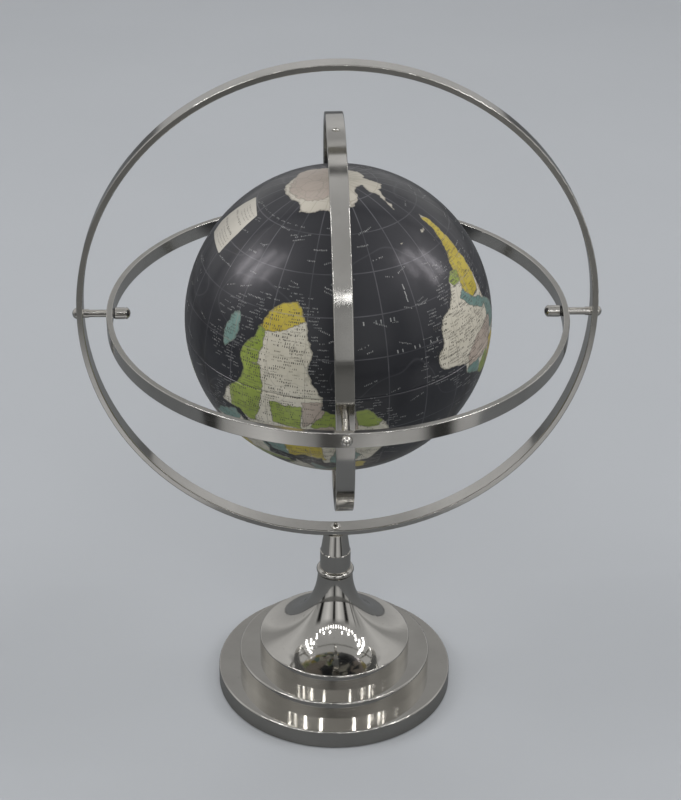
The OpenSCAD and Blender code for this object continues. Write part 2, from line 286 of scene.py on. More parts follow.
# Outlines as (latitude, longitude) in degrees, east positive.
LAND = {
    "africa": [
        (35, -6), (37, 10), (33, 11), (31, 20), (33, 22), (31, 32), (27, 34), (22, 37), (15, 40),
        (12, 43), (11, 51), (5, 48), (-2, 41), (-7, 39), (-11, 40.5), (-15, 40.5), (-20, 35),
        (-24, 35), (-26, 33), (-30, 31), (-33.5, 27), (-34.5, 20), (-33, 18), (-28, 15.5),
        (-22, 14), (-17, 12), (-12, 14), (-6, 12), (-1, 9), (4, 9), (6, 4), (5, -2), (4.5, -7),
        (9, -12), (12, -14), (15, -15), (21, -16.5), (26, -15), (30, -12), (34, -9),
    ],
    "madagascar": [
        (-12.5, 48.6), (-15.3, 50.5), (-21, 49), (-25.6, 47), (-26.5, 44.3), (-24.7, 43.2), (-19.2, 43),
        (-15.8, 44),
    ],
    "south_america": [
        (12, -72), (11, -64), (8, -60), (6, -55), (4, -51), (0, -50), (-3, -40), (-5, -36),
        (-8, -35), (-13, -38.5), (-18, -39), (-22.5, -41), (-24, -46), (-28, -49), (-33, -52),
        (-35, -55), (-35, -57.5), (-38, -57.5), (-40, -60), (-42.5, -61), (-46.5, -62.5),
        (-50, -65), (-55, -65), (-57, -67), (-54, -70), (-50, -70), (-42, -69.5), (-30, -69.5),
        (-18, -70), (-14, -76), (-6, -81), (-1, -80), (2, -79), (7, -78), (9, -77),
    ],
    "north_america": [
        (8, -77), (8, -82), (13, -88), (16, -95), (19, -105), (23, -106), (28, -111), (31, -114),
        (24, -111), (30, -116), (34, -120), (40, -124), (48, -125), (54, -130), (60, -141),
        (59, -152), (56, -160), (59, -162), (64, -166), (66, -168), (71, -157), (70, -140),
        (69, -125), (68, -110), (68, -95), (72, -92), (69, -82), (63, -90), (59, -94), (55, -82),
        (51, -80), (58, -77), (62, -75), (60, -65), (54, -57), (50, -60), (49, -66), (46, -61),
        (43, -66), (41, -70), (37, -76), (32, -81), (25, -80), (29, -83), (30, -90), (28, -97),
        (21, -97), (18, -94), (21, -90), (21, -87), (16, -88), (15, -83), (10, -83), (9, -79),
    ],
    "greenland": [
        (60, -44), (65, -40), (70, -22), (77, -18), (82, -20), (83, -35), (81, -60), (76, -70),
        (74, -57), (68, -53), (62, -50),
    ],
    "baffin": [(62, -66), (66, -62), (70, -68), (73, -80), (71, -88), (68, -75), (64, -76)],
    "ellesmere": [(76, -80), (80, -70), (83, -70), (82, -90), (78, -88)],
    "victoria": [(69, -105), (73, -105), (73, -118), (69, -116)],
    "eurasia": [
        (36, -6), (37, -9), (43, -9), (43, -2), (47, -2), (49, -5), (50, 2), (53, 6), (57, 8),
        (54, 10), (54, 20), (59, 24), (60, 30), (60, 22), (65, 25), (65, 21), (60, 17), (56, 16),
        (56, 13), (59, 10), (58, 6), (62, 5), (68, 14), (71, 26), (69, 35), (67, 41), (64, 37),
        (66, 44), (69, 55), (69, 67), (73, 70), (68, 74), (74, 82), (78, 104), (74, 112),
        (73, 130), (71, 150), (70, 170), (66, 190), (62, 179), (60, 170), (56, 162), (51, 157),
        (57, 156), (61, 160), (59, 150), (59, 143), (54, 137), (53, 141), (46, 138), (43, 132),
        (39, 128), (35, 129), (35, 126), (39, 125), (40, 121), (38, 118), (37, 122), (33, 120),
        (30, 122), (25, 119), (22, 114), (21, 108), (16, 108), (11, 109), (9, 105), (13, 100),
        (9, 99), (2, 103), (1, 104), (3, 101), (8, 98), (14, 98), (16, 95), (22, 91), (21, 87),
        (16, 81), (10, 80), (8, 77.5), (13, 75), (21, 72), (22, 69), (25, 66), (25, 60),
        (27, 56), (30, 49), (24, 51), (24, 56), (22, 60), (17, 55), (13, 45), (21, 39),
        (28, 35), (31, 34), (36, 36), (37, 30), (37, 27), (40, 26), (41, 36), (42, 41),
        (46, 38), (46, 31), (41, 28), (40, 24), (37, 23), (40, 20), (45, 14), (40, 18),
        (38, 16), (44, 9), (43, 4), (40, 0), (37, -2),
    ],
    "britain": [(50, -5), (51, 1), (54, 0), (58, -2), (58.5, -5), (55, -5), (53, -4)],
    "ireland": [(52, -9), (52, -6), (55, -6), (54, -10)],
    "iceland": [(64, -22), (63.5, -18), (65, -14), (66.5, -16), (66, -22)],
    "japan": [
        (31, 130), (34, 132), (35, 137), (36, 140.5), (41, 141.5), (45, 142), (43, 145),
        (42, 141), (38, 139), (35.5, 134),
    ],
    "borneo": [(7, 117), (1, 119), (-4, 116), (-3, 110), (2, 110), (5, 115)],
    "sumatra": [(5, 95), (0, 98), (-6, 105), (-3, 106), (1, 103)],
    "java": [(-6, 105), (-6.5, 112), (-8, 115), (-8.5, 111), (-7.5, 106)],
    "sulawesi": [(1, 124), (0, 120), (-5, 120), (-4, 123), (-1, 122)],
    "new_guinea": [(-1, 131), (-3, 141), (-6, 147), (-10, 150), (-8, 144), (-8, 138), (-4, 133)],
    "philippines": [(18, 121), (14, 124), (7, 126), (7, 122), (13, 120)],
    "sri_lanka": [(9.5, 80), (7, 82), (6, 80.5)],
    "australia": [
        (-12, 131), (-12, 136), (-17, 140), (-11, 142.5), (-19, 147), (-25, 153), (-33, 152),
        (-38, 149), (-39, 146), (-36, 139), (-32, 133), (-34, 123), (-35, 117), (-31, 115),
        (-22, 114), (-18, 122), (-14, 127),
    ],
    "tasmania": [(-41, 145), (-41, 148), (-43.5, 147)],
    "new_zealand_north": [(-35, 173), (-38, 178), (-41, 175), (-38, 174.5)],
    "new_zealand_south": [(-41, 173.5), (-44, 172), (-46.5, 169), (-46, 167), (-43, 170)],
    "cuba": [(22, -84), (23, -81), (20, -75), (20, -77), (22, -81)],
    "hispaniola": [(20, -73), (19, -68.5), (18, -71), (18.5, -74)],
    "falklands": [(-51.5, -58.5), (-51.3, -55), (-52.8, -55.5), (-52.6, -58.5)],
    "south_georgia": [(-52.5, -37.5), (-51.6, -35.5), (-53.3, -34.5)],
    "antarctica": [
        (-80, -180), (-80, -150), (-79, -120), (-80, -100), (-77, -92), (-74, -86), (-73, -75),
        (-74, -69), (-71, -60), (-67.5, -56), (-64.6, -52.3), (-65.4, -51.5), (-70.5, -56), (-74, -57),
        (-76, -54), (-78, -59), (-80, -63), (-80.5, -46), (-79, -37), (-75, -26), (-72, -15), (-70.5, -5),
        (-70, 9), (-70.5, 16), (-69.7, 24), (-68.4, 33), (-68, 40), (-70.5, 47), (-71, 55), (-71.3, 63),
        (-70.8, 74), (-71, 86), (-71.8, 95), (-72.7, 104), (-73.6, 115), (-73.2, 132), (-75.4, 148),
        (-78, 165), (-80, 180), (-90, 180), (-90, -180),
    ],
}

# Printed key to the map: a plain pale panel in the ocean.
KEY_PANEL = [
    (-58, 71.5), (-48.5, 71.5), (-38.5, 73.5), (-38.5, 95), (-42.5, 99), (-49, 98.5), (-55, 98),
    (-59.5, 97), (-59.3, 82),
]

# Countries as rough patches of each printed colour; the coast cuts them off.
COUNTRIES = {
    "yellow": [
        [(-37, 14), (-37, 36), (-24.5, 36), (-23, 31.5), (-23.5, 25), (-26, 20), (-29, 14)],
        [(20, 11), (34, 9), (34, 25), (20, 25)],
        [(-57, -63), (-54, -70), (-50, -73), (-40, -72), (-30, -70), (-22, -67), (-22, -62), (-27, -57),
         (-32, -58), (-36, -54), (-45, -62)],
        [(12, -78), (12, -71), (6, -69), (-2, -70), (1, -79)],
        [(26, -98), (49, -124), (49, -95), (43, -80), (25, -79)],
        [(54, -131), (60, -141), (72, -141), (72, -170), (52, -170)],
        [(36, -10), (44, -9), (43, 3), (36, -1)],
        [(56, 11), (69, 20), (66, 25), (58, 20)],
        [(40, 45), (40, 62), (25, 62), (30, 48)],
        [(21, 98), (40, 75), (48, 88), (42, 105), (50, 120), (42, 131), (20, 122)],
        [(-12, 112), (-12, 129), (-36, 129), (-36, 112)],
        [(45, 68), (55, 62), (52, 80), (44, 80)],
    ],
    "green": [
        [(-24.5, 33), (-24, 38), (-10, 43), (-10, 33), (-15, 33), (-17, 31.5), (-23, 31.5)],
        [(-10, 43), (5, 46), (13, 46), (15, 36), (8, 33), (-1, 31), (-10, 32)],
        [(4, 16), (3, 28), (13, 28), (14, 17)],
        [(4, 3), (3, 9), (13, 14), (14, 4)],
        [(3, -8), (4, -3), (12, -3), (13, -12), (7, -14)],
        [(-30, -58), (-30, -53), (-33, -51), (-36, -54), (-34, -59)],
        [(13, -71), (12, -60), (5, -61), (1, -66), (6, -69)],
        [(15, -93), (18, -106), (32, -118), (26, -97), (21, -86)],
        [(44, -2), (51, 2), (49, 8), (43, 7)],
        [(60, 22), (70, 20), (70, 30), (60, 30)],
        [(38, 26), (42, 26), (42, 44), (36, 44)],
        [(23, 68), (34, 74), (27, 88), (21, 89), (7, 80), (8, 76)],
        [(42, 88), (52, 88), (50, 118), (42, 110)],
        [(-9, 129), (-9, 138), (-26, 138), (-26, 129)],
        [(10, 97), (22, 98), (22, 106), (8, 110)],
    ],
    "teal": [
        [(-10, 42), (-10, 52), (-27, 50), (-27, 42)],
        [(20, 2), (38, 9), (38, -2), (30, -6), (24, 0)],
        [(21, 25), (33, 25), (32, 35), (21, 38)],
        [(-18, -70), (-17, -74), (-4, -82), (-3, -74), (-10, -70)],
        [(-27, -57), (-22, -62), (-19, -68), (-15, -70), (-15, -66), (-20, -58), (-25, -54)],
        [(9, -60), (7, -50), (1, -52), (1, -60)],
        [(57, 4), (72, 20), (71, 30), (66, 17), (59, 11)],
        [(45, 5), (48, 16), (44, 16), (36, 18), (37, 12)],
        [(42, 50), (52, 50), (55, 62), (45, 68), (40, 60)],
        [(12, 42), (16, 55), (22, 60), (20, 45)],
        [(-26, 138), (-26, 154), (-40, 154), (-40, 141)],
        [(30, 129), (46, 140), (46, 146), (34, 141)],
    ],
    "blush": [
        [(-84, -10), (-76, 20), (-73, 45), (-72, 75), (-74, 105), (-72, 135), (-78, 160), (-85, 180),
         (-90, 60)],
        [(1, 8), (2, 16), (13, 16), (8, 9)],
        [(4, -3), (5, 3), (13, 3), (14, -4)],
        [(-57, -76), (-57, -68), (-50, -73), (-40, -72), (-30, -70), (-18, -69), (-18, -73)],
        [(-3, -51), (2, -52), (2, -70), (-10, -73), (-8, -58)],
        [(49, -125), (60, -141), (76, -141), (76, -60), (46, -52), (43, -80), (49, -95)],
        [(55, 28), (68, 42), (80, 60), (80, 195), (50, 160), (42, 131), (52, 118), (52, 88), (55, 62)],
        [(46, 6), (55, 7), (55, 15), (48, 13)],
        [(-9, 138), (-9, 146), (-28, 155), (-26, 138)],
        [(12, 5), (24, 4), (22, 14), (14, 15)],
        [(48, 22), (52, 24), (52, 40), (44, 38)],
    ],
}

# Lighter and darker print of each country colour.
COUNTRY_INKS = {
    "yellow": ((0.36, 0.28, 0.025), (0.50, 0.41, 0.06)),
    "green": ((0.17, 0.23, 0.03), (0.28, 0.35, 0.07)),
    "teal": ((0.10, 0.19, 0.17), (0.19, 0.29, 0.26)),
    "blush": ((0.33, 0.27, 0.22), (0.42, 0.36, 0.30)),
}

MAP_FIRST_MERIDIAN = 1.3  # longitude that faces -Y, in degrees
GRATICULE = 15.0  # degrees between the lines of latitude or longitude
POLE_HOLE_R = 3.0 * MM
SHELL_T = 2.0 * MM
SHELL_LIP = 0.25 * MM  # rounding at the equator
SHELL_ROWS = 120  # points from the equator to a pole
SHELL_TURNS = 480  # points around
SDF_REACH = 8.0  # distances to an outline are kept up to this many degrees
COAST_WANDER = 0.55  # how far the coast strays from its outline, in degrees
COAST_SEED = 7


def on_globe(latitude, longitude):
    """Unit vector in the globe's frame; the south pole is up and east is to the left from the front."""
    latitude, longitude = math.radians(latitude), math.radians(longitude - MAP_FIRST_MERIDIAN)
    return Vector((
        -math.cos(latitude) * math.sin(longitude),
        -math.cos(latitude) * math.cos(longitude),
        -math.sin(latitude),
    ))


def inside(latitudes, longitudes, outline):
    """Even-odd test of many points against an outline."""
    result = np.zeros(len(latitudes), bool)
    for turn in (0, 360):
        crossed = np.zeros(len(latitudes), bool)
        east = longitudes + turn
        for (lat_a, lon_a), (lat_b, lon_b) in zip(outline, outline[1:] + outline[:1]):
            if lat_a == lat_b:
                continue
            spans = (latitudes >= min(lat_a, lat_b)) & (latitudes < max(lat_a, lat_b))
            at = lon_a + (latitudes - lat_a) * (lon_b - lon_a) / (lat_b - lat_a)
            crossed ^= spans & (east < at)
        result |= crossed
    return result


def distance_to_outline(points, outline):
    """Angle in degrees from many unit vectors to the nearest edge of an outline."""
    nearest = np.full(len(points), SDF_REACH)
    for a, b in zip(outline, outline[1:] + outline[:1]):
        if -90 in (a[0], b[0]):
            continue
        va, vb = np.array(on_globe(*a)), np.array(on_globe(*b))
        normal = np.cross(va, vb)
        normal /= np.linalg.norm(normal)
        across = np.abs(np.arcsin(np.clip(points @ normal, -1, 1)))
        beyond_a = points @ np.cross(normal, va) < 0
        beyond_b = points @ np.cross(vb, normal) < 0
        to_ends = np.arccos(np.clip(np.maximum(points @ va, points @ vb), -1, 1))
        edge = np.degrees(np.where(beyond_a | beyond_b, to_ends, across))
        nearest = np.minimum(nearest, edge)
    return nearest


def signed_distance(points, outlines):
    """Degrees from the nearest of several outlines, positive inside one of them."""
    latitudes = -np.degrees(np.arcsin(np.clip(points[:, 2], -1, 1)))
    longitudes = np.degrees(np.arctan2(-points[:, 0], -points[:, 1])) + MAP_FIRST_MERIDIAN
    longitudes = (longitudes + 180) % 360 - 180
    best = np.full(len(points), -SDF_REACH)
    for outline in outlines:
        away = distance_to_outline(points, outline)
        best = np.maximum(best, np.where(inside(latitudes, longitudes, outline), away, -away))
    return best


def wandered(points, size):
    """Points shifted by a little fractal noise, so that straight outlines turn into coasts."""
    noise.seed_set(COAST_SEED)
    shift = np.array([
        noise.noise_vector(Vector(p) * 9) + noise.noise_vector(Vector(p) * 24) * 0.5
        for p in points
    ])
    moved = points + shift * math.radians(size)
    return moved / np.linalg.norm(moved, axis=1, keepdims=True)


def shell_half(upward):
    """Points and faces of half the globe, from a rounded lip at the equator to the pole hole."""
    hole = math.asin(POLE_HOLE_R / GLOBE_R)
    rows = [(GLOBE_R - SHELL_T, 0.0), (GLOBE_R - SHELL_LIP, 0.0)]
    for i in range(1, SHELL_ROWS + 1):
        angle = math.pi / 2 - (math.pi / 2 - hole) * i / SHELL_ROWS
        rows.append((GLOBE_R * math.sin(angle), GLOBE_R * math.cos(angle)))
    sign = 1 if upward else -1
    verts = []
    for radius, height in rows:
        for k in range(SHELL_TURNS):
            turn = 2 * math.pi * k / SHELL_TURNS
            verts.append((radius * math.cos(turn), radius * math.sin(turn), sign * height))
    faces = []
    for i in range(len(rows) - 1):
        for k in range(SHELL_TURNS):
            a, b = i * SHELL_TURNS + k, i * SHELL_TURNS + (k + 1) % SHELL_TURNS
            quad = (a, b, b + SHELL_TURNS, a + SHELL_TURNS)
            faces.append(quad if upward else quad[::-1])
    return verts, faces


def store_map(mesh, verts):
    """Keeps each point's distances to the outlines of the map as attributes of the mesh."""
    points = np.array(verts)
    points /= np.linalg.norm(points, axis=1, keepdims=True)
    strayed = wandered(points, COAST_WANDER)
    layers = {"land": list(LAND.values()), **COUNTRIES}
    distances = {layer: signed_distance(strayed, outlines) for layer, outlines in layers.items()}
    distances["key"] = signed_distance(points, [KEY_PANEL])
    for layer, values in distances.items():
        mesh.attributes.new("map_" + layer, "FLOAT", "POINT").data.foreach_set("value", values)


def hemisphere(name, node, upward):
    """Fine shell with the map, in place of the CAD one."""
    verts, faces = shell_half(upward)
    piece = new_piece(name, verts, faces)
    for polygon in piece.data.polygons:
        polygon.use_smooth = True
    piece.matrix_world = GLOBE_FRAME
    store_map(piece.data, verts)
    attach(piece, "globe")
    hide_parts(node)
    return piece


class MapPrint(Material):
    """Printed and lacquered map; a distance to an outline is in degrees and positive inside."""

    def __init__(self, name):
        super().__init__(name, Specular_IOR_Level=0.45, Coat_Weight=0.4, Coat_Roughness=0.18)
        self.place = self.node("TexCoord").outputs["Object"]
        self.ragged = self.math("MULTIPLY", self.math("SUBTRACT", self.noise(230.0, 6.0), 0.5), 2.6)
        self.shade = self.ramp(self.noise(38.0, 5.0, roughness=0.65), [(0.3, 0.0), (0.7, 1.0)])

    def away(self, layer, ragged_edge=True):
        """Distance to a layer's outlines."""
        value = self.node("Attribute", {"attribute_name": "map_" + layer}).outputs["Fac"]
        return self.math("ADD", value, self.ragged) if ragged_edge else value

    def band(self, value, stops):
        """Ramp over degrees from -4 to 4."""
        scaled = self.math("MULTIPLY_ADD", value, 0.125, 0.5)
        return self.ramp(scaled, [(0.5 + degrees / 8, level) for degrees, level in stops])

    def rivers(self):
        """Faint wandering lines between the cells of a bent Voronoi pattern, here and there."""
        scatter = self.node("TexNoise", Scale=120.0, Detail=4.0, Vector=self.place).outputs["Color"]
        bend = self.node("VectorMath", {"operation": "SCALE"}, Vector=scatter, Scale=0.006).outputs[0]
        bent = self.offset(self.place, bend)
        cells = self.node("TexVoronoi", {"feature": "DISTANCE_TO_EDGE"}, Scale=95.0, Vector=bent)
        lines = self.ramp(cells.outputs["Distance"], [(0.015, 0.28), (0.045, 0.0)])
        return self.math("MULTIPLY", lines, self.ramp(self.noise(45.0, 3.0), [(0.42, 0.0), (0.52, 1.0)]))

    def land(self, shore):
        """Pale land with coloured countries, borders, rivers and a coast line, duller near the pole."""
        colour = self.mix(self.shade, (0.47, 0.445, 0.355), (0.58, 0.55, 0.46))
        drawn = self.rivers()
        for layer, (first, second) in COUNTRY_INKS.items():
            reach = self.away(layer)
            within = self.band(reach, [(-0.1, 0.0), (0.1, 1.0)])
            colour = self.mix(within, colour, self.mix(self.shade, first, second))
            border = self.band(reach, [(-0.3, 0.0), (-0.1, 0.55), (0.1, 0.55), (0.3, 0.0)])
            drawn = self.math("MAXIMUM", drawn, border)
        coast = self.band(shore, [(-0.9, 0.0), (-0.15, 0.5), (0.25, 0.6), (0.6, 0.0)])
        colour = self.mix(self.math("MAXIMUM", drawn, coast), colour, (0.10, 0.095, 0.075))
        height = self.node("SeparateXYZ", Vector=self.place).outputs["Z"]
        polar = self.ramp(height, [(0.080, 0.0), (0.090, 0.35)])
        return self.mix(polar, colour, (0.24, 0.22, 0.20))

    def from_line(self, steps):
        """Distance in steps from the nearest whole step, for steps above -24."""
        shifted = self.math("ADD", steps, 24.5)
        return self.math("ABSOLUTE", self.math("SUBTRACT", self.math("FRACT", shifted), 0.5))

    def graticule(self):
        """Unevenly worn lines of latitude and longitude."""
        position = self.node("SeparateXYZ", Vector=self.place)
        x, y, z = (position.outputs[k] for k in "XYZ")
        longitude = self.math("DIVIDE", self.math("ARCTAN2", x, y), math.radians(GRATICULE))
        longitude = self.math("ADD", longitude, MAP_FIRST_MERIDIAN / GRATICULE)
        height = self.math("DIVIDE", z, GLOBE_R)
        latitude = self.math("DIVIDE", self.math("ARCSINE", height), math.radians(GRATICULE))
        girth = self.math("SQRT", self.math("SUBTRACT", 1.0, self.math("POWER", height, 2.0)))
        across = self.math("MULTIPLY", self.from_line(longitude), girth)
        across = self.math("MINIMUM", across, self.from_line(latitude))
        worn = self.ramp(self.noise(35.0, 4.0), [(0.35, 0.2), (0.65, 0.75)])
        return self.math("MULTIPLY", self.ramp(across, [(0.008, 1.0), (0.016, 0.0)]), worn)

    def currents(self):
        """Faint level lines of a broad noise, like currents or depths."""
        level = self.math("ABSOLUTE", self.math("SUBTRACT", self.noise(16.0, 1.0), 0.5))
        return self.ramp(level, [(0.002, 0.22), (0.005, 0.0)])


def globe_print():
    """Black ocean, pale land, coloured countries, a key panel and a fine graticule under lacquer."""
    material = MapPrint("globe_print")
    mottle = material.noise(14.0, 3.0)
    shore = material.away("land")
    ocean = material.mix(mottle, (0.011, 0.012, 0.015), (0.022, 0.023, 0.028))
    colour = material.mix(material.band(shore, [(-0.08, 0.0), (0.08, 1.0)]), ocean, material.land(shore))
    panel = material.band(material.away("key", False), [(-0.1, 0.0), (0.1, 1.0)])
    colour = material.mix(panel, colour, material.mix(material.shade, (0.44, 0.42, 0.36), (0.50, 0.48, 0.42)))
    ashore = material.band(shore, [(-0.05, 0.0), (0.05, 1.0)])
    ink = material.mix(ashore, (0.11, 0.11, 0.12), (0.28, 0.26, 0.21))
    drawn = material.math("MAXIMUM", material.graticule(), material.currents())
    drawn = material.math("MULTIPLY", drawn, material.math("SUBTRACT", 1.0, panel))
    material.set("Base Color", material.mix(drawn, colour, ink))
    rubbed = material.noise(22.0, 4.0, stretch=(1.0, 1.0, 0.35), roughness=0.6)
    material.set("Roughness", material.ramp(rubbed, [(0.36, 0.34), (0.5, 0.44), (0.62, 0.60)]))
    material.bump(material.math("MULTIPLY_ADD", material.noise(60.0, 5.0), 0.3, mottle), 0.10, 0.0008)
    return material


GLOBE_PRINT = globe_print()
for name, node, upward in (
    ("southern_shell", "southern_hemisphere", True),
    ("northern_shell", "northern_hemisphere", False),
):
    paint(hemisphere(name, node, upward), GLOBE_PRINT)

# ---------------------------------------------------------------- printed marks

MARK_PROUD = 0.03 * MM  # marks lie this far above the lacquer
ROW_PITCH = 0.55  # degrees between the marks of a row
LINE_PITCH = 1.1  # degrees of latitude between rows
CELL_LENGTH = 4.6  # degrees along a row in which only one row may start


class Marks:
    """Collects short printed strokes on the globe and turns them into one thin mesh."""

    def __init__(self, seed):
        self.chance = random.Random(seed)
        self.verts, self.faces = [], []

    def stroke(self, latitude, longitude, along, up, turn=0.0):
        """Four-cornered mark of a size in millimetres, turned about its centre."""
        centre = on_globe(latitude, longitude)
        east = Vector((-centre.y, centre.x, 0)).normalized()
        north = centre.cross(east)
        c, s = math.cos(turn), math.sin(turn)
        first = len(self.verts)
        for a, b in ((-1, -1), (1, -1), (1, 1), (-1, 1)):
            u, v = a * along / 2 * MM, b * up / 2 * MM
            corner = centre * GLOBE_R + east * (u * c - v * s) + north * (u * s + v * c)
            self.verts.append(corner.normalized() * (GLOBE_R + MARK_PROUD))
        self.faces.append((first, first + 1, first + 2, first + 3))

    def row(self, latitude, longitude, count, size=1.0, slope=0.0):
        """Row of upright ticks of uneven height, like lettering too small to read."""
        narrow = max(math.cos(math.radians(latitude)), 0.2)
        for i in range(count):
            if self.chance.random() < 0.12:
                continue
            step = i * ROW_PITCH * size
            tick_latitude, tick_longitude = latitude + slope * step, longitude + step / narrow
            up = size * self.chance.uniform(0.45, 1.05)
            self.stroke(tick_latitude, tick_longitude, 0.30 * size, up)
            if self.chance.random() < 0.45:
                shift = self.chance.choice((-0.35, 0.35)) * size * MM / GLOBE_R
                tick_latitude += math.degrees(shift)
                self.stroke(tick_latitude, tick_longitude, 0.75 * size, 0.22 * size)

    def piece(self, name, material):
        """Thin piece of all the marks so far, which turns with the globe."""
        piece = new_piece(name, self.verts, self.faces)
        piece.matrix_world = GLOBE_FRAME
        paint(piece, material)
        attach(piece, "globe")
        return piece


def printing_ink(name, first, second):
    """Ink with uneven cover under the lacquer."""
    material = Material(name, Roughness=0.4)
    cover = material.noise(300.0, 4.0)
    material.set("Base Color", material.mix(material.ramp(cover, [(0.35, 0.0), (0.65, 1.0)]), first, second))
    return material


def scattered_rows(chance, count):
    """Random starts of rows over the whole globe, with how far inland each is in degrees."""
    places = []
    for _ in range(count):
        latitude = math.degrees(math.asin(chance.uniform(-0.97, 0.97)))
        places.append((round(latitude / LINE_PITCH) * LINE_PITCH, chance.uniform(-180, 180)))
    points = np.array([on_globe(*place) for place in places])
    return list(zip(places, signed_distance(points, list(LAND.values()))))


def key_rows(marks):
    """Fine rows on the key panel around two rows of a larger size."""
    for latitude in np.arange(-57.0, -39.5, 1.25):
        if not -52.5 < latitude < -45.5:
            marks.row(latitude, 75.0, 24 if latitude > -50 else 20, 0.8)
    for latitude, count in ((-46.4, 15), (-51.4, 13)):
        marks.row(latitude, 76.5, count, 1.7, 0.02)


def sea_names(marks):
    """Larger strokes and rows in the southern seas."""
    for longitude in (-7, -12, -14, -18, -19.5):
        marks.stroke(-27.5, longitude, 0.8, 2.4)
    for longitude in (-19, -21, -26, -28, -33, -36):
        marks.stroke(-16, longitude, 0.7, 2.2, 0.1)
    for latitude in (-33, -35, -37.5):
        marks.stroke(latitude, -27, 0.7, 3.6, 0.1)
    for longitude in range(28, 84, 6):
        marks.row(-62, longitude, 3, 1.0)
    for longitude in range(60, 72, 3):
        marks.row(-38.5, longitude, 4, 1.2)
    for longitude in range(35, 42, 3):
        marks.row(-33, longitude, 4, 1.2)


def map_marks():
    """Names and notes of the map: dark rows on land, pale rows at sea and on the ocean floor."""
    dark, pale = Marks(11), Marks(12)
    taken = set()
    for (latitude, longitude), inland in scattered_rows(random.Random(5), 16000):
        narrow = max(math.cos(math.radians(latitude)), 0.25)
        cell = (round(latitude / LINE_PITCH), round(longitude * narrow / CELL_LENGTH))
        if cell in taken or (-61 < latitude < -36 and 68 < longitude < 102):
            continue
        if inland > 0.9 and latitude > -62:
            taken.add(cell)
            dark.row(latitude, longitude, dark.chance.randint(3, 8), dark.chance.choice((0.9, 1.2, 1.5)))
        elif -5.5 < inland < -0.8 and latitude > -40:
            taken.add(cell)
            pale.row(latitude, longitude, pale.chance.randint(3, 8), 0.9)
        elif inland < -6 and pale.chance.random() < 0.03:
            taken.add(cell)
            pale.row(latitude, longitude, pale.chance.randint(4, 10), 1.1, pale.chance.uniform(-0.5, 0.5))
    key_rows(dark)
    sea_names(pale)
    dark.piece("land_marks", printing_ink("dark_ink", (0.035, 0.033, 0.03), (0.08, 0.075, 0.065)))
    pale.piece("sea_marks", printing_ink("pale_ink", (0.16, 0.17, 0.17), (0.34, 0.34, 0.33)))


map_marks()

# ---------------------------------------------------------------- studio

FLOOR_SIZE = 40.0
TABLE_FRONT = 0.24  # the mirrored table's edge lies this far in front of the stand
BACKDROP_R, BACKDROP_H = 9.0, 12.0
ROOM_TONES = [  # light of the room in front against the azimuth from the front, in degrees
    (-180, 0.20), (-115, 0.24), (-102, 0.18), (-94, 0.45), (-72, 0.50), (-66, 0.02), (-57, 0.02),
    (-52, 0.60), (-30, 0.95), (-12, 0.50), (-8, 0.03), (-2, 0.03), (3, 0.60), (15, 1.00), (34, 0.60),
    (40, 0.03), (48, 0.03), (53, 0.60), (68, 0.70), (72, 0.05), (76, 0.70), (82, 0.15), (88, 0.65),
    (96, 0.20), (104, 0.40), (120, 0.22),
]
ROOM_STOPS = [((azimuth + 180) / 360, light) for azimuth, light in ROOM_TONES]
SKY_STOPS = [  # light of the sky from the back (0) over the top (0.5) to the front (1)
    (0.0, 0.50), (0.13, 0.68), (0.18, 0.42), (0.22, 0.42), (0.26, 0.66), (0.35, 0.76), (0.41, 0.64),
    (0.50, 0.50), (0.62, 0.46), (0.75, 0.50), (0.79, 0.44), (0.82, 0.27), (1.0, 0.22),
]
BEAM_STOPS = [(0.350, 0.0), (0.365, 0.78), (0.390, 0.78), (0.405, 0.0)]  # dark bar across the sky
SKY_STRENGTH = 0.85
GLOBE_STRIPS = (  # azimuth from the front in degrees, height, length and power
    (-99, 1.35, 0.7, 3.2), (-88, 1.55, 1.0, 6.0), (-77, 1.9, 0.9, 4.0),
    (77, 1.85, 0.7, 3.2), (88, 1.5, 1.0, 6.0), (98, 1.3, 0.6, 3.4),
)
STRIP_REACH = 1.7
LAMP_REACH = 3.5
LAMP_WIDTH = 0.12
LAMP_AIM = Vector((0, 0, 0.08))
CAMERA_PLACE = (-0.0427, -1.0908, 0.8327)
CAMERA_FORWARD = (0.03607, 0.87540, -0.48206)
CAMERA_UP = (0.00707, 0.48214, 0.87607)
SENSOR_HEIGHT, LENS = 24.0, 55.0


def ground(name, level):
    """Wide level square."""
    half = FLOOR_SIZE / 2
    corners = [(-half, -half, level), (half, -half, level), (half, half, level), (-half, half, level)]
    return new_piece(name, corners, [(0, 1, 2, 3)])


def floor():
    """Plain pale floor, which the metal doesn't mirror."""
    piece = ground("floor", 0)
    material = Material("floor", Roughness=0.9)
    grain = material.noise(3.0, 6.0)
    material.set("Base Color", material.mix(grain, (0.375, 0.39, 0.41), (0.405, 0.42, 0.44)))
    paint(piece, material)
    piece.visible_glossy = False


